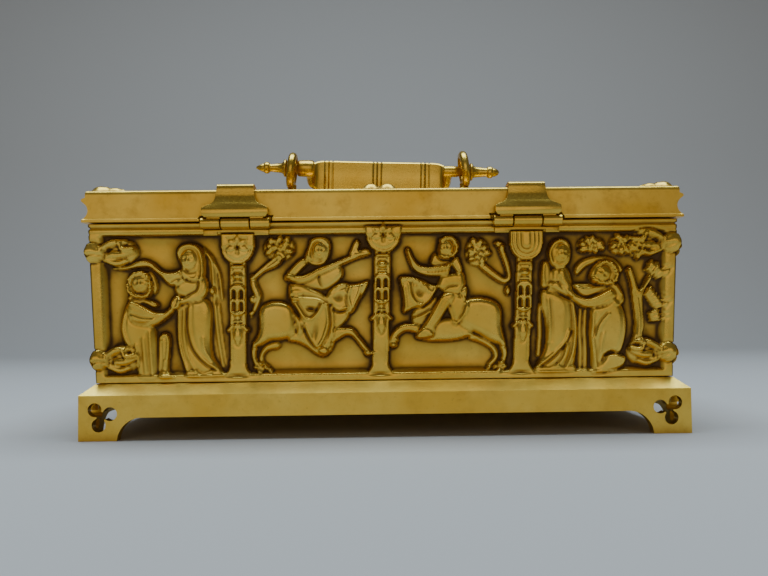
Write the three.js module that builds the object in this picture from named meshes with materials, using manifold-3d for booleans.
// A cast-brass casket in the Gothic-revival manner: a relief box on a hollow bracketed plinth, with a hinged
// lid and a swinging handle. Millimetres, +Z up, the length along X, the hinged back at -Y.
// The origin is on the ground, in the middle of the four feet.
import * as THREE from "three";
import { mergeVertices } from "three/addons/utils/BufferGeometryUtils.js";
import Module from "manifold-3d";

const wasm = await Module();
wasm.setup();

// ---------- driving dimensions ----------
const plinth = {
  halfLength: 100,
  halfDepth: 65,
  faceTop: 14.7, // top of the upright face, where the sloped ledge starts
  top: 18.1,
  ledgeRun: 4.3,
  wall: 4,
  archTop: 7.5,
  footWidth: 12.5,
  archRadius: 8,
  seatWidth: 10, // the flat flange under the walls and the floor plate
};
const trefoil = {
  fromCorner: 7.4,
  height: 8,
  lobeOffset: 2.95,
  lobeRadius: 2.25,
  middleRadius: 1.5,
  turn: 15, // degrees that the three lobes lean towards the corner
};
const box = {
  halfLength: 95.7, // outer faces at the foot of the walls
  halfDepth: 60.7,
  bottom: 18.4,
  top: 70.9,
  flare: 2.1, // how far each wall leans out from foot to top
  recess: 3, // from the rim down to the ground of the relief
  backing: 2, // metal behind the ground
};
const field = { top: 67.2, bottom: 20.5, filletTop: 22.8, border: 3.4 };
const lid = {
  bottom: 71.3,
  lipTop: 72.3,
  top: 81.8,
  halfLength: 99.4,
  halfDepth: 64.4,
  hollow: 1.9, // how far the ends draw in above the lip
  spurHeight: 78.7,
  rimWidth: 5,
  rimDrop: 1.6, // from the rim down to the field of the top
  wall: 2.6,
  plate: 2.4,
};
const hinge = {
  places: [-48.9, 47.2],
  axisY: -65,
  axisZ: 70.5,
  radius: 1.9,
  centreHalf: 4.65, // half the middle knuckle
  outerHalf: 11.35, // half the whole barrel
  leafHalf: 10.7,
  leafThick: 0.9,
  strapTop: 83.6,
  strapEnd: -58.2, // where the tongue stops on the rim of the lid
};
const eye = { places: [-36.3, 34], centreZ: 99.4, ringRadius: 5.9, wire: 1.65, footRadius: 5, lean: 6 };
const bail = {
  leftZ: 100.5, // height of the pivot in the middle of each eye
  rightZ: 98.4,
  leftTip: -50.9,
  rightTip: 48.4,
  reach: 15, // from the pivot to the middle of the grip
  thick: 2.6,
  gripHalf: 6.4,
  gripLeft: -28.2,
  gripRight: 26.8,
  gripRise: -0.4, // the grip hangs a little below the pivot line
};
const gap = 0.3; // between pieces that rest on each other
const sink = 0.5; // how far each raised form runs down into the metal that carries it

const brass = (name, colour, roughness) =>
  new THREE.MeshStandardMaterial({ name, color: colour, roughness, metalness: 1 });
const castBrass = brass("cast brass", 0xb8892b, 0.42);
const plinthBrass = brass("plinth brass", 0xc09a3c, 0.36);
const lidBrass = brass("lid brass", 0xc29b35, 0.38);
const hingeBrass = brass("hinge brass", 0xcfae55, 0.32);
const handleBrass = brass("handle brass", 0xc59322, 0.34);

// ---------- shapes ----------
// Every shape is a closed BufferGeometry; manifold-3d only joins and cuts them.
const radians = THREE.MathUtils.degToRad;

function manifoldOf(geometry) {
  const bare = geometry.index ? geometry.toNonIndexed() : geometry.clone();
  for (const name of Object.keys(bare.attributes)) if (name !== "position") bare.deleteAttribute(name);
  const merged = mergeVertices(bare, 1e-4);
  const vertProperties = merged.attributes.position.array;
  const triVerts = new Uint32Array(merged.index.array);
  const made = new wasm.Manifold(new wasm.Mesh({ numProp: 3, vertProperties, triVerts }));
  if (made.volume() > 0) return made;
  return new wasm.Manifold(new wasm.Mesh({ numProp: 3, vertProperties, triVerts: triVerts.reverse() }));
}

function geometryOf(manifold) {
  const { numProp, vertProperties, triVerts } = manifold.getMesh();
  const corners = new Float32Array(triVerts.length * 3);
  triVerts.forEach((vertex, i) => {
    for (let k = 0; k < 3; k += 1) corners[3 * i + k] = vertProperties[numProp * vertex + k];
  });
  const geometry = new THREE.BufferGeometry();
  geometry.setAttribute("position", new THREE.BufferAttribute(corners, 3));
  return geometry;
}

const join = (...shapes) => geometryOf(shapes.map(manifoldOf).reduce((sum, next) => sum.add(next)));
const cut = (shape, ...tools) =>
  geometryOf(tools.map(manifoldOf).reduce((rest, tool) => rest.subtract(tool), manifoldOf(shape)));
const meet = (a, b) => geometryOf(manifoldOf(a).intersect(manifoldOf(b)));

// A closed body through a stack of rings with equal numbers of points, capped flat at both ends.
function lofted(rings) {
  const count = rings[0].length;
  const corners = [];
  const face = (...points) => points.forEach((p) => corners.push(...p));
  for (let i = 0; i + 1 < rings.length; i += 1) {
    for (let j = 0; j < count; j += 1) {
      const k = (j + 1) % count;
      face(rings[i][j], rings[i][k], rings[i + 1][k]);
      face(rings[i][j], rings[i + 1][k], rings[i + 1][j]);
    }
  }
  const cap = (ring, flip) => {
    const points = ring.map((p) => new THREE.Vector3(...p));
    const normal = new THREE.Vector3();
    points.forEach((p, i) => normal.add(p.clone().cross(points[(i + 1) % count])));
    const across = points[1].clone().sub(points[0]).normalize();
    const up = normal.normalize().clone().cross(across).normalize();
    const flat = points.map((p) => new THREE.Vector2(p.dot(across), p.dot(up)));
    for (const [a, b, c] of THREE.ShapeUtils.triangulateShape(flat, [])) {
      face(ring[a], ring[flip ? c : b], ring[flip ? b : c]);
    }
  };
  cap(rings[0], true);
  cap(rings.at(-1), false);
  const geometry = new THREE.BufferGeometry();
  geometry.setAttribute("position", new THREE.Float32BufferAttribute(corners, 3));
  return geometry;
}

// An outline in X and Y, extruded along Z from low to high.
function slab(outline, low, high) {
  const shape = new THREE.Shape(outline.map(([x, y]) => new THREE.Vector2(x, y)));
  return new THREE.ExtrudeGeometry(shape, { depth: high - low, bevelEnabled: false }).translate(0, 0, low);
}

// An outline in Y and Z, extruded along X, and one in X and Z, extruded along Y.
const slabAlongX = (outline, low, high) => slab(outline, low, high).rotateX(Math.PI / 2).rotateZ(Math.PI / 2);
const slabAlongY = (outline, low, high) => slab(outline, -high, -low).rotateX(Math.PI / 2);

const middleOf = ([low, high]) => (low + high) / 2;
const block = (x, y, z) => {
  const box = new THREE.BoxGeometry(x[1] - x[0], y[1] - y[0], z[1] - z[0]);
  return box.translate(middleOf(x), middleOf(y), middleOf(z));
};

const rectangle = (x, y) => [[-x, -y], [x, -y], [x, y], [-x, y]];

function arc(x, y, radius, from, to, steps) {
  return Array.from({ length: steps + 1 }, (_, i) => {
    const angle = radians(from + ((to - from) * i) / steps);
    return [x + radius * Math.cos(angle), y + radius * Math.sin(angle)];
  });
}

// A turned form about the X axis, from [x, radius] pairs that start and end on the axis.
function turned(profile, sides) {
  const points = profile.map(([x, radius]) => new THREE.Vector2(radius, x));
  return new THREE.LatheGeometry(points, sides).rotateZ(-Math.PI / 2);
}

// ---------- relief forms, drawn flat: X along the wall, Y up it, Z out of its ground ----------
// A round-backed bar through a route of [x, y, half width, rise], with blunt ends.
function limb(...route) {
  const last = route.length - 1;
  const ring = ([x, y, half, rise], along, shift, shrink) =>
    arc(0, 0, 1, 0, 180, 3).map(([across, up]) => [
      x + along.x * shift + along.y * across * half * shrink,
      y + along.y * shift - along.x * across * half * shrink,
      (up / Math.sin(Math.PI / 3)) * (rise * (0.5 + 0.5 * shrink) + sink) - sink,
    ]);
  const rings = route.map((point, i) => {
    const [before, after] = [route[Math.max(i - 1, 0)], route[Math.min(i + 1, last)]];
    const along = new THREE.Vector2(after[0] - before[0], after[1] - before[1]).normalize();
    return { point, along, body: ring(point, along, 0, 1) };
  });
  const tip = ({ point, along }, way) => ring(point, along, way * point[2] * 0.8, 0.45);
  return lofted([tip(rings[0], -1), ...rings.map((r) => r.body), tip(rings[last], 1)]);
}

// A rounded lump: half widths along and up the wall, its rise, and its turn in degrees.
function lump(x, y, wide, high, rise, turn = 0) {
  const large = Math.min(wide, high) > 3.5;
  const levels = large ? [[1, -sink], [0.88, rise * 0.6], [0.44, rise]] : [[1, -sink], [0.5, rise]];
  const [c, s] = [Math.cos(radians(turn)), Math.sin(radians(turn))];
  return lofted(
    levels.map(([size, level]) =>
      arc(0, 0, size, 0, 360, large ? 8 : 6)
        .slice(1)
        .map(([u, v]) => [x + u * wide * c - v * high * s, y + u * wide * s + v * high * c, level]),
    ),
  );
}

// Drapery through rows of [left, right, height, rise], with folds running from row to row.
function robe(folds, ...rows) {
  const columns = 2 * folds;
  return lofted(
    rows.map(([left, right, y, rise]) => {
      const crest = Array.from({ length: columns + 1 }, (_, i) => {
        const across = i / columns;
        const round = 1 - 0.45 * (2 * across - 1) ** 4;
        return [left + (right - left) * across, y, rise * round * (i % 2 ? 1 : 0.78)];
      });
      return [[left, y, -sink], ...crest, [right, y, -sink]];
    }),
  );
}

// A flat-topped bar with sloped sides, through rows of [middle, half width, height, rise].
function bar(...rows) {
  const slope = 0.5;
  return lofted(
    rows.map(([middle, half, y, rise]) => [
      [middle - half, y, -sink],
      [middle - half + slope, y, rise],
      [middle + half - slope, y, rise],
      [middle + half, y, -sink],
    ]),
  );
}

// ---------- straps that divide a wall, each with a leafy head and a pierced drop ----------
// head and foot are its middle at the top and the bottom: some of them lean a little.
function strap(head, foot, headHeight, headRadius, headTop) {
  const pierced = headHeight - headRadius - 7; // top of the pierced lozenge
  const middle = (y) => foot + ((head - foot) * (y - field.bottom)) / (headTop - field.bottom);
  const row = (half, y, rise) => [middle(y), half, y, rise];
  const headEdge = headRadius + 0.3;
  const cup = [
    ...arc(head, headHeight, headRadius, 180, 360, 6),
    [head + headEdge, headTop],
    [head - headEdge, headTop],
  ];
  const slots = [-1.15, 1.15].map((side) => {
    const x = middle(pierced - 5) + side;
    return block([x - 0.5, x + 0.5], [pierced - 8.2, pierced - 1.8], [2.6, 5]);
  });
  const lozenge = bar(
    row(1.3, pierced + 0.6, 3.5),
    row(2.8, pierced - 1.4, 3.5),
    row(2.8, pierced - 8.6, 3.5),
    row(1.1, pierced - 12, 3.4),
  );
  const lobes = pierced - 14.4;
  return [
    slab(cup, -sink, 3.5),
    lump(head, headHeight + 0.6, headRadius * 0.6, headRadius * 0.68, 4.1),
    bar(row(4.4, field.bottom - sink, 2.7), row(2.7, field.bottom + 3, 2.7), row(2.6, headHeight, 2.7)),
    lump(middle(pierced + 3.6), pierced + 3.6, 2, 2.6, 3.6),
    cut(lozenge, ...slots),
    limb([middle(lobes) - 2.9, lobes, 0.9, 3], [middle(lobes) + 2.9, lobes, 0.9, 3]),
    lump(middle(lobes - 3.1), lobes - 3.1, 1.7, 2.8, 3.6),
  ];
}

// The same strap without its finer parts, for the walls that show less.
function plainStrap(x) {
  const { bottom } = field;
  return [
    slab([...arc(x, 62.8, 5.3, 180, 360, 6), [x + 5.6, 68.1], [x - 5.6, 68.1]], -sink, 3.5),
    bar([x, 4.4, bottom - sink, 2.7], [x, 2.7, bottom + 3, 2.7], [x, 2.6, 62.8, 2.7]),
    bar([x, 1.3, 51, 3.5], [x, 2.8, 49, 3.5], [x, 2.8, 42, 3.5], [x, 1.1, 38.5, 3.4]),
    lump(x, 33, 1.7, 2.8, 3.6),
  ];
}

// A leafy clasp at a corner of a wall; side is -1 at the left end and 1 at the right.
const clasp = (x, y, side) => [
  lump(x, y, 3.3, 3.2, 4.6),
  lump(x - side * 7, y + 0.4, 6, 4.6, 2.9),
  lump(x - side * 7, y + 1.6, 4.6, 1.9, 4, side * -14),
];

// ---------- the figures of the back wall ----------
const kneelingSuitor = () => [
  lump(-80.8, 51.4, 3.7, 4, 3.3),
  robe(
    2,
    [-84.8, -77.6, 47, 2.2],
    [-87.4, -74.8, 41, 2.7],
    [-87.2, -75.6, 33, 2.5],
    [-83.8, -76.5, 20.3, 2.3],
  ),
  limb([-83, 43.8, 2.4, 2.9], [-79, 39.8, 2.6, 3.3], [-68.6, 45.2, 1.6, 3.3]),
  limb([-76, 33, 1.6, 1.8], [-72.2, 32.4, 1.9, 2.1], [-72, 21, 1.8, 1.9]),
];

const veiledLady = () => [
  lump(-64.6, 59.6, 3.2, 3.7, 3.2),
  limb([-67.3, 61.6, 1, 2.4], [-63, 63, 1.2, 2.7], [-60.1, 56, 1, 2.6]),
  robe(
    2,
    [-66.6, -60.2, 56.8, 2.2],
    [-68.6, -59.8, 51, 2.7],
    [-66.2, -60, 44.8, 2.4],
    [-68.4, -57.4, 36, 2.6],
    [-65.2, -52.8, 20.6, 2.4],
  ),
  limb([-67.4, 54.2, 1.7, 3], [-74.4, 54.4, 1.6, 2.8], [-79.4, 57.8, 1.4, 2.4], [-89.8, 57.2, 0.8, 1.6]),
  limb([-60.6, 51.4, 1.6, 2.9], [-60.8, 47.6, 1.5, 3.1], [-67, 45, 1.2, 3.3]),
];

const ladyOnHorse = () => [
  lump(-21.4, 62.1, 2.8, 3.3, 3.2),
  limb([-19.6, 65, 0.9, 2.6], [-23.8, 64.4, 1.2, 2.8], [-24.2, 58, 1, 2.4]),
  limb([-26, 57.8, 1.6, 2.6], [-31, 53.6, 1.4, 2.9], [-19, 55.6, 1.3, 3], [-5.8, 60.6, 0.9, 2.8]),
  robe(1, [-25.5, -19.5, 58, 2], [-27.5, -15, 54.4, 2.1], [-29.5, -20, 47.6, 2.4]),
  robe(2, [-31.6, -22, 50.4, 2.4], [-30.6, -17.4, 44, 3], [-28.4, -16.6, 37, 3], [-22.8, -18.6, 28, 2.7]),
];

// A horse facing right: rump, barrel, hind legs, neck, head and a raised foreleg.
const ladysHorse = () => [
  lump(-36.2, 38.4, 6.7, 6.9, 3.2),
  limb([-33, 34.6, 4, 2.6], [-22, 31.8, 3.4, 2.6], [-17.2, 36.6, 3, 2.5]),
  limb([-39.6, 34, 2.8, 2.8], [-43, 29.4, 1.5, 2.3], [-42.2, 22.4, 1.1, 2.1]),
  limb([-36.6, 31.6, 1.6, 2], [-40.4, 27.6, 1, 1.7], [-39.6, 22.6, 0.9, 1.7]),
  limb([-17.4, 38.6, 2.5, 2.5], [-16.4, 45, 2.6, 2.7], [-13, 48.6, 2.2, 2.8], [-6, 50.2, 0.9, 2.2]),
  limb([-11.6, 48, 2.4, 3], [-11.6, 41.4, 1.5, 2.8]),
  limb([-16.4, 33.2, 1.8, 2.6], [-9.8, 34, 1.3, 2.5], [-4.6, 26.8, 1, 2.3]),
];

const gentlemanOnHorse = () => [
  lump(21, 62.3, 3.1, 3.5, 3.2),
  robe(2, [19, 26.2, 58.8, 2.4], [19.2, 26.6, 52, 2.6], [18.4, 27.2, 46.2, 3], [23.1, 24.3, 36.2, 2.5]),
  limb([22.8, 56, 1.7, 3], [14.4, 54, 1.5, 3.2], [7.8, 61.2, 0.7, 2.5]),
  limb([20.6, 46, 2.2, 3.3], [16.4, 41.6, 2, 3.4], [12, 33, 1.3, 3.1]),
];

// A horse facing left.
const gentlemansHorse = () => [
  lump(33.2, 38.5, 6.7, 6.7, 3.2),
  limb([29, 36.2, 4.7, 2.8], [12.6, 36.6, 3.2, 2.6]),
  limb([12.8, 38.6, 2.5, 2.5], [13.2, 45.6, 2.6, 2.7], [10.6, 49.4, 2.2, 2.8], [5.4, 51.2, 0.9, 2.3]),
  limb([8.8, 49, 2.4, 3], [7.4, 42, 1.4, 2.8]),
  limb([12, 36.2, 1.9, 2.6], [4.4, 34.8, 1.3, 2.4], [2.3, 29.2, 1.1, 2.3]),
  limb([36, 35, 2.6, 2.8], [39, 29, 1.2, 2.2], [38.8, 21.8, 1.1, 2]),
  limb([31, 31.4, 1.7, 2.2], [36, 27.4, 1, 1.8], [35.2, 21.4, 0.9, 1.8]),
];

const embracingLady = () => [
  lump(58.4, 60.8, 3.1, 3.8, 3.1),
  robe(
    2,
    [54.6, 61, 57.4, 2.4],
    [52.6, 62, 50, 2.8],
    [52.8, 62.2, 45.2, 2.4],
    [52.6, 64, 36, 2.6],
    [50.2, 62, 20.6, 2.4],
  ),
  limb([58.2, 53.4, 1.4, 3], [58.8, 49.4, 1.5, 3.2], [62, 46.2, 1, 3.3]),
  limb([53.6, 48.6, 1.1, 2.8], [60.6, 46, 1.1, 3.1]),
];

const bowingSuitor = () => [
  lump(73.6, 53.6, 3.9, 3.8, 3.2),
  robe(2, [70.5, 77.6, 48.4, 2.4], [68.4, 79.8, 41, 2.8], [67.8, 80.2, 32, 2.8], [69.2, 77.6, 20.4, 2.4]),
  limb([77.2, 45.4, 1.9, 2.9], [66.4, 44.4, 1.6, 3.3], [62.6, 47.2, 1, 3.1]),
  lump(76.4, 22.7, 3.5, 1.9, 3, 12),
];

// ---------- the trees of the back wall ----------
const leftTree = () => [
  limb([-43.8, 40.6, 0.9, 1.6], [-42.3, 46, 1.3, 1.9], [-43.8, 52.6, 1.2, 1.9], [-35.8, 58.4, 1.3, 2.5]),
  lump(-35, 62.4, 5.2, 4.2, 2),
  lump(-37.2, 62.6, 2.1, 2.5, 2.9),
  lump(-33.2, 63.4, 2.7, 2, 3),
];

const middleTree = () => [
  limb([41.2, 46.4, 1, 1.7], [40.6, 50.2, 1.1, 1.9], [31.4, 57.6, 1.2, 2.5]),
  limb([40.8, 50.6, 0.8, 1.9], [38.8, 61.6, 1.1, 2.1]),
  lump(30.9, 61.2, 4.1, 4.4, 2),
  lump(29.8, 62.4, 2.2, 1.9, 2.9),
  lump(32.3, 60, 2.2, 1.8, 2.9),
];

const rightTree = () => [
  limb([82, 55.6, 0.9, 2.3], [84.2, 46, 1.4, 2.7], [85.4, 37, 1.4, 2.5], [84.4, 30, 1.9, 2.6]),
  limb([84.8, 47.4, 1, 2.4], [91, 57.4, 1.5, 2.8]),
  lump(91, 52, 2.6, 3, 2.7),
  lump(90.8, 43.8, 2.6, 3.4, 2.6, -20),
  lump(69.3, 62.4, 4.5, 2.8, 2.2),
  lump(68.6, 62.9, 2.2, 1.4, 3),
  lump(80.8, 62.5, 5.2, 3, 2.2),
  lump(81.4, 62.9, 3, 1.6, 3.1),
];

// ---------- plainer figures and trees for the other three walls ----------
const standingFigure = (x, turn) => [
  lump(x, 59.6, 3.1, 3.7, 3.1),
  robe(
    2,
    [x - 3, x + 3, 56.4, 2.3],
    [x - 4.4, x + 4.4, 50, 2.8],
    [x - 4.2, x + 4.2, 45, 2.5],
    [x - 6 + turn, x + 6 + turn, 20.6, 2.5],
  ),
  limb([x - 3.6 * turn, 53.2, 1.5, 2.9], [x - 3.8 * turn, 48.2, 1.4, 3.1], [x + 4 * turn, 47.4, 1.1, 3.3]),
];

const plainTree = (x, lean) => [
  limb([x, 20.8, 1.8, 2.4], [x + lean, 38, 1.3, 2.5], [x - lean * 0.5, 58, 1, 2.6]),
  lump(x, 60.6, 5, 4.6, 2.3),
  lump(x + lean * 2.6, 49, 2.9, 2.7, 2.7),
];

// ---------- walls ----------
const flareAt = (height) => (box.flare * (height - box.bottom)) / (box.top - box.bottom);

// Takes a flat drawing of a wall to its place at the back of the box, out from the middle, leaning outwards.
function leanOut(drawing, out) {
  const position = drawing.getAttribute("position");
  for (let i = 0; i < position.count; i += 1) {
    const [x, height, depth] = [position.getX(i), position.getY(i), position.getZ(i)];
    position.setXYZ(i, x, -(out + flareAt(height) - box.recess + depth), height);
  }
  return drawing;
}

// One wall: ends and border at full thickness, a sunk field, and relief on its ground, mitred at both ends.
// quarter 0 is the back, 1 the right, 2 the front and 3 the left.
function wall(quarter, relief) {
  const long = quarter % 2 === 0;
  const [along, out] = long ? [box.halfLength, box.halfDepth] : [box.halfDepth, box.halfLength];
  const end = along + box.flare + 1;
  const border = along - field.border + 1;
  const plate = slab(
    [[-end, box.bottom], [end, box.bottom], [end, box.top], [-end, box.top]],
    -box.backing,
    box.recess,
  );
  const sunk = lofted(
    [-border, border].map((x) => [
      [x, field.filletTop, 0],
      [x, field.top - 0.6, 0],
      [x, field.top, box.recess + 1],
      [x, field.bottom - 0.8, box.recess + 1],
      [x, field.bottom, box.recess],
    ]),
  );
  const leant = leanOut(join(cut(plate, sunk), ...relief), out);
  // Each end is cut back to the upright 45 degree plane that the two walls share.
  const corner = box.halfLength - box.halfDepth;
  const reach = (y) => y + (long ? corner : -corner) - gap / Math.SQRT2;
  const [outer, inner] = [out + box.flare + 3, out - 12];
  const wedge = slab(
    [[-reach(outer), -outer], [reach(outer), -outer], [reach(inner), -inner], [-reach(inner), -inner]],
    box.bottom - 1,
    box.top + 1,
  );
  return meet(leant, wedge).rotateZ((Math.PI / 2) * quarter);
}

const backRelief = [
  ...strap(-48.7, -49, 62.6, 5.3, 67.4),
  ...strap(-0.4, -1.9, 66.2, 5.6, 69.4),
  ...strap(47.2, 45, 63, 5.4, 67.4),
  ...clasp(-95.6, 61.4, -1),
  ...clasp(-95.2, 26, -1),
  ...clasp(95.2, 63, 1),
  ...clasp(94.4, 26.4, 1),
  ...kneelingSuitor(),
  ...veiledLady(),
  ...leftTree(),
  ...ladysHorse(),
  ...ladyOnHorse(),
  ...middleTree(),
  ...gentlemansHorse(),
  ...gentlemanOnHorse(),
  ...embracingLady(),
  ...bowingSuitor(),
  ...rightTree(),
];

const cornerBosses = (x) => [-1, 1].flatMap((side) => [61.6, 26].map((y) => lump(side * x, y, 3.2, 3, 4.6)));

const frontRelief = [
  ...[-48, 0, 48].flatMap(plainStrap),
  ...cornerBosses(95.2),
  ...[-66, -17, 17, 66].flatMap((x, i) => standingFigure(x, i % 2 ? -1 : 1)),
  ...[-82, -33, 33, 82].flatMap((x) => plainTree(x, x > 0 ? -2 : 2)),
];

const endRelief = () => [
  ...cornerBosses(60.2),
  ...[-14, 14].flatMap((x) => standingFigure(x, x > 0 ? -1 : 1)),
  ...[-38, 38].flatMap((x) => plainTree(x, x > 0 ? -2 : 2)),
];

// ---------- plinth and floor ----------
// The opening between two feet: straight sides, quarter-round shoulders and a level top.
function archOutline(half) {
  const end = half - plinth.footWidth;
  const { archRadius: r, archTop } = plinth;
  return [
    [-end, -1],
    ...arc(-end + r, archTop - r, r, 180, 90, 5),
    ...arc(end - r, archTop - r, r, 90, 0, 5),
    [end, -1],
  ];
}

// Three round lobes that meet; side is -1 near the left end of a face and 1 near the right.
function trefoilCut(side) {
  const { lobeOffset, lobeRadius, middleRadius, turn } = trefoil;
  const deep = 1.5 * plinth.wall;
  const hole = (x, y, radius, sides) => slab(arc(x, y, radius, 0, 360, sides).slice(1), -deep, deep);
  const lobes = [0, 1, 2].map((lobe) => {
    const angle = radians(90 + side * (90 - turn - 120 * lobe));
    return hole(lobeOffset * Math.cos(angle), lobeOffset * Math.sin(angle), lobeRadius, 8);
  });
  return join(hole(0, 0, middleRadius, 6), ...lobes);
}

function makePlinth() {
  const { halfLength: long, halfDepth: deep, wall: thick, ledgeRun: run, faceTop, top, seatWidth } = plinth;
  const layer = (x, y, z) => rectangle(x, y).map(([a, b]) => [a, b, z]);
  const outside = lofted([
    layer(long, deep, 0),
    layer(long, deep, faceTop),
    layer(long - run, deep - run, top),
  ]);
  const inside = lofted([
    layer(long - thick, deep - thick, -1),
    layer(long - thick, deep - thick, faceTop - 3),
    layer(long - thick - run, deep - thick - run, faceTop),
  ]);
  const [openX, openY] = [long - run - seatWidth, deep - run - seatWidth];
  const opening = block([-openX, openX], [-openY, openY], [0, top + 1]);
  const cuts = [inside, opening];
  for (const [half, reach, turn] of [[long, deep, 0], [deep, long, Math.PI / 2]]) {
    cuts.push(slabAlongY(archOutline(half), -reach - 1, reach + 1).rotateZ(turn));
    for (const side of [-1, 1]) {
      for (const face of [-1, 1]) {
        const pierced = trefoilCut(side).translate(side * (half - trefoil.fromCorner), trefoil.height, 0);
        cuts.push(pierced.rotateX(Math.PI / 2).translate(0, face * reach, 0).rotateZ(turn));
      }
    }
  }
  return cut(outside, ...cuts);
}

const floorThickness = 2;

function makeFloor() {
  const inset = box.recess + box.backing + gap;
  const [x, y] = [box.halfLength - inset, box.halfDepth - inset];
  return block([-x, x], [-y, y], [box.bottom, box.bottom + floorThickness]);
}

// ---------- lid ----------
// The ends are hollow mouldings between a lip and a spur; the long faces stand nearly upright.
function lidShell() {
  const { bottom, lipTop, top, halfLength: x, halfDepth: y, hollow, spurHeight } = lid;
  const middle = (lipTop + spurHeight) / 2;
  const endProfile = [
    [x, bottom],
    [x, lipTop - 0.3],
    [x - hollow * 0.7, lipTop + 1.1],
    [x - hollow, middle - 0.5],
    [x - hollow * 0.75, middle + 1.3],
    [x + 0.3, spurHeight - 0.3],
    [x + 0.2, spurHeight + 0.3],
    [x - 1, spurHeight + 0.8],
    [x - 1, top - 0.6],
    [x - 1.6, top],
  ];
  const longProfile = [
    [y, bottom],
    [y, lipTop - 0.2],
    [y - 0.5, lipTop + 0.2],
    [y - 0.6, top - 1.4],
    [y - 0.9, top - 0.5],
    [y - 1.6, top],
  ];
  const mirrored = (profile) => profile.concat(profile.map(([a, b]) => [-a, b]).reverse());
  const ends = slabAlongY(mirrored(endProfile), -y - 1, y + 1);
  const longs = slabAlongX(mirrored(longProfile), -x - 1, x + 1);
  return meet(ends, longs);
}

// The leaf that grips a corner of the lid and curls over its rim.
function cornerLeaf(sideX, sideY) {
  const leaf = join(
    lump(0, 0, 3.4, 3.2, 2.3),
    lump(-5, 0.4, 3.6, 2.2, 2.1),
    lump(0.4, -5, 2.2, 3.4, 2),
  );
  return leaf.translate(lid.halfLength - 5, lid.halfDepth - 5, lid.top - 0.4).scale(sideX, sideY, 1);
}

// A four-lobed flower on the field of the top.
const quatrefoil = ([x, y]) => [
  lump(x, y, 2.8, 2.8, 2.1),
  slab(
    arc(0, 0, 1, 0, 360, 16)
      .slice(1)
      .map(([u, v]) => {
        const reach = 6.2 + 4.4 * Math.abs(2 * u * v);
        return [x + u * reach, y + v * reach];
      }),
    -sink,
    1.1,
  ),
];

function makeLid() {
  const { top, wall: thick, plate, rimWidth, rimDrop, bottom } = lid;
  const fieldFloor = top - rimDrop;
  const [x, y] = [lid.halfLength - rimWidth, lid.halfDepth - rimWidth];
  const sunk = block([-x, x], [-y, y], [fieldFloor, top + 1]);
  // The three straps of the walls run on over the top; the outer two start where the hinge tongues stop.
  const strapRise = rimDrop + 0.6;
  const overTop = [...hinge.places, -0.9].flatMap((place, i) => {
    const start = i < 2 ? hinge.strapEnd + gap : -y - 3;
    return [
      bar([place, 4.6, start, strapRise], [place, 4.6, y + 3, strapRise]),
      lump(place, y + 1.4, 5.8, 2.9, strapRise + 1.2),
    ];
  });
  const backBud = [-1, 1].map((side) => lump(-1.6 + side * 2.9, -y - 2, 3, 2, strapRise + 1.4));
  const flowerPlaces = [-73.5, -24, 24, 73.5].flatMap((along) => [-30, 30].map((across) => [along, across]));
  const flowers = flowerPlaces.flatMap(quatrefoil);
  const onField = join(...overTop, ...backBud, ...flowers).translate(0, 0, fieldFloor);
  const [inX, inY] = [lid.halfLength - thick - 2, lid.halfDepth - thick - 0.8];
  const hollow = block([-inX, inX], [-inY, inY], [bottom - 1, fieldFloor - plate]);
  const notchHalf = hinge.outerHalf + 2 * gap;
  const notches = hinge.places.map((place) =>
    block(
      [place - notchHalf, place + notchHalf],
      [hinge.axisY - 4, hinge.axisY + hinge.radius + gap],
      [bottom - 1, hinge.axisZ + hinge.radius + 0.5],
    ),
  );
  const leaves = [-1, 1].flatMap((sideX) => [-1, 1].map((sideY) => cornerLeaf(sideX, sideY)));
  return cut(join(cut(lidShell(), sunk), onField, ...leaves), hollow, ...notches);
}

// ---------- hinges ----------
const knuckle = (from, to) => {
  const { radius, axisY, axisZ } = hinge;
  return turned([[from, 0], [from, radius], [to, radius], [to, 0]], 10).translate(0, axisY, axisZ);
};

// The leaf on the box: a thin plate on the rim with the middle knuckle, cut round the head of the strap.
function boxLeaf() {
  const { leafHalf, leafThick, centreHalf, axisZ } = hinge;
  const face = -(box.halfDepth + box.flare + gap);
  const [low, headTop, shoulder, headHalf] = [66.6, 67.7, 68.5, 6.1];
  const outline = [
    [-leafHalf, low],
    [-headHalf, low],
    [-headHalf, headTop],
    [headHalf, headTop],
    [headHalf, low],
    [leafHalf, low],
    [leafHalf, shoulder],
    [centreHalf, shoulder],
    [centreHalf, axisZ],
    [-centreHalf, axisZ],
    [-centreHalf, shoulder],
    [-leafHalf, shoulder],
  ];
  return join(slabAlongY(outline, face - leafThick, face), knuckle(-centreHalf, centreHalf));
}

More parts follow.
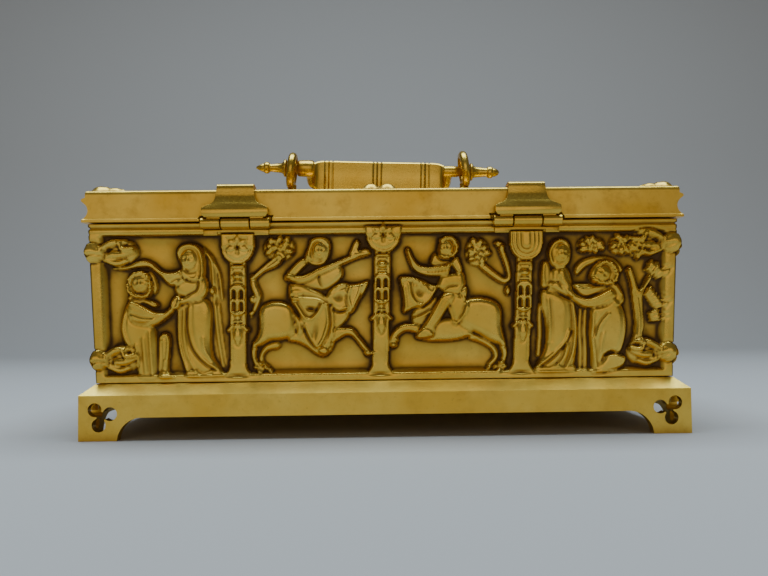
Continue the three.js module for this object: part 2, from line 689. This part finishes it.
// The leaf on the lid: a bevelled flange over the barrel that sweeps up into a tongue over the rim.
function lidStrap() {
  const { axisY, axisZ, centreHalf, outerHalf, strapTop, strapEnd } = hinge;
  const inner = -lid.halfDepth + 0.2;
  const seat = lid.top + gap;
  const section = [
    [inner, axisZ + 2.5],
    [axisY - 1.6, axisZ + 1.85],
    [axisY - 2.2, axisZ + 2.7],
    [axisY - 2.3, axisZ + 4.1],
    [axisY - 1.2, axisZ + 6.8],
    [axisY - 0.5, axisZ + 8.5],
    [axisY - 0.1, strapTop - 1.2],
    [axisY + 0.5, strapTop - 0.3],
    [axisY + 3.8, strapTop],
    [strapEnd, strapTop - 0.5],
    [strapEnd, seat],
    [inner, seat],
  ];
  const half = [[9.4, 72], [10.8, 73.6], [10.8, 75.3], [7.6, 77], [6.6, 78.2], [6.1, 82], [5.4, 84]];
  const outline = half.concat(half.map(([x, z]) => [-x, z]).reverse());
  const sweep = meet(slabAlongX(section, -12, 12), slabAlongY(outline, axisY - 4, strapEnd + 1));
  const first = centreHalf + gap;
  const ears = [-1, 1].flatMap((side) => {
    const [from, to] = side > 0 ? [first, outerHalf] : [-outerHalf, -first];
    const web = [side > 0 ? first : -9.2, side > 0 ? 9.2 : -first];
    return [knuckle(from, to), block(web, [axisY - 1.2, inner], [axisZ + 1, axisZ + 2.8])];
  });
  return join(sweep, ...ears);
}

// ---------- handle ----------
// A ring on a turned foot that stands on the lid; it leans a little towards the middle.
function makeEye(side) {
  const { centreZ, ringRadius, wire, footRadius, lean } = eye;
  const floorZ = lid.top - lid.rimDrop + gap;
  const stem = [
    [floorZ, 0],
    [floorZ, footRadius],
    [floorZ + 1, footRadius],
    [floorZ + 1.8, 2.6],
    [floorZ + 4.5, 1.9],
    [floorZ + 7.5, 2.8],
    [floorZ + 10, 1.8],
    [centreZ - ringRadius - 0.6, 1.9],
    [centreZ - ringRadius, 0],
  ];
  const ring = new THREE.TorusGeometry(ringRadius, wire, 6, 14)
    .rotateY(Math.PI / 2)
    .rotateY(radians(lean * -side))
    .translate(0, 0, centreZ);
  return join(turned(stem, 8).rotateY(-Math.PI / 2), ring);
}

const pivotSlope = (bail.rightZ - bail.leftZ) / (eye.places[1] - eye.places[0]);
const pivotHeight = (x) => bail.leftZ + pivotSlope * (x - eye.places[0]);

// One casting: a pointed finial and a disc outside each eye, a hub inside it, and the strap-like grip, which
// is carried out on two short arms. At rest the grip points to +Y.
function makeBail() {
  const { leftTip, rightTip, reach, thick, gripHalf, gripLeft, gripRight, gripRise } = bail;
  const pivot = turned(
    [
      [leftTip, 0],
      [leftTip + 0.3, 0.5],
      [leftTip + 3.6, 2.1],
      [leftTip + 4.9, 2.3],
      [leftTip + 6.2, 1.5],
      [leftTip + 10.6, 2],
      [leftTip + 11.3, 3.6],
      [leftTip + 12.5, 3.6],
      [leftTip + 12.8, 2],
      [-34.2, 2],
      [-33.6, 3.3],
      [-27.7, 3.5],
      [-27.2, 0],
    ],
    8,
  );
  const right = turned(
    [
      [25.4, 0],
      [25.7, 2.2],
      [31.4, 2.2],
      [31.8, 1.9],
      [36.1, 1.9],
      [36.4, 3.6],
      [37.6, 3.6],
      [38.3, 2.3],
      [42.6, 1.8],
      [43.6, 2.4],
      [45.8, 2.3],
      [rightTip - 0.5, 1.2],
      [rightTip, 0],
    ],
    8,
  );
  // The strap's path in plan: out on one arm, along the grip and back, with the outward side to the pivot.
  const bend = 4;
  const path = [
    [gripLeft - 1.3, 0, 3],
    [gripLeft - 1.3, reach - bend, 4],
    [gripLeft - 0.3, reach - 1.2, 5.2],
    [gripLeft + bend, reach, gripHalf],
    [gripRight - bend, reach, gripHalf],
    [gripRight + 0.3, reach - 1.2, 5.2],
    [gripRight + 1.3, reach - bend, 4],
    [gripRight + 1.3, 0, 2.2],
  ];
  const rings = path.map(([x, y, half], i) => {
    const [before, after] = [path[Math.max(i - 1, 0)], path[Math.min(i + 1, path.length - 1)]];
    const along = new THREE.Vector2(after[0] - before[0], after[1] - before[1]).normalize();
    const at = (inwards, z) => [x + along.y * inwards, y - along.x * inwards, z + (gripRise * y) / reach];
    const [face, rear] = [thick / 2, -thick / 2];
    return [at(face, -half), at(face + 0.6, 0), at(face, half), at(rear, half), at(rear, -half)];
  });
  return join(pivot, right, lofted(rings))
    .rotateY(-Math.atan(pivotSlope))
    .translate(0, 0, pivotHeight(0));
}

// ---------- the casket ----------
const group = new THREE.Group();

function add(name, geometry, material, place = [0, 0, 0]) {
  geometry.computeVertexNormals();
  const mesh = new THREE.Mesh(geometry, material);
  mesh.name = name;
  mesh.position.set(...place);
  group.add(mesh);
}

add("plinth", makePlinth(), plinthBrass);
add("floor_plate", makeFloor(), castBrass);
add("back_wall", wall(0, backRelief), castBrass);
add("right_wall", wall(1, endRelief()), castBrass);
add("front_wall", wall(2, frontRelief), castBrass);
add("left_wall", wall(3, endRelief()), castBrass);
add("lid", makeLid(), lidBrass);
["left", "right"].forEach((side, i) => {
  add(`box_hinge_leaf_${side}`, boxLeaf(), hingeBrass, [hinge.places[i], 0, 0]);
  add(`lid_hinge_strap_${side}`, lidStrap(), hingeBrass, [hinge.places[i], 0, 0]);
  add(`handle_eye_${side}`, makeEye(i ? 1 : -1), handleBrass, [eye.places[i], 0, 0]);
});
add("handle_bail", makeBail(), handleBrass);

export default group;
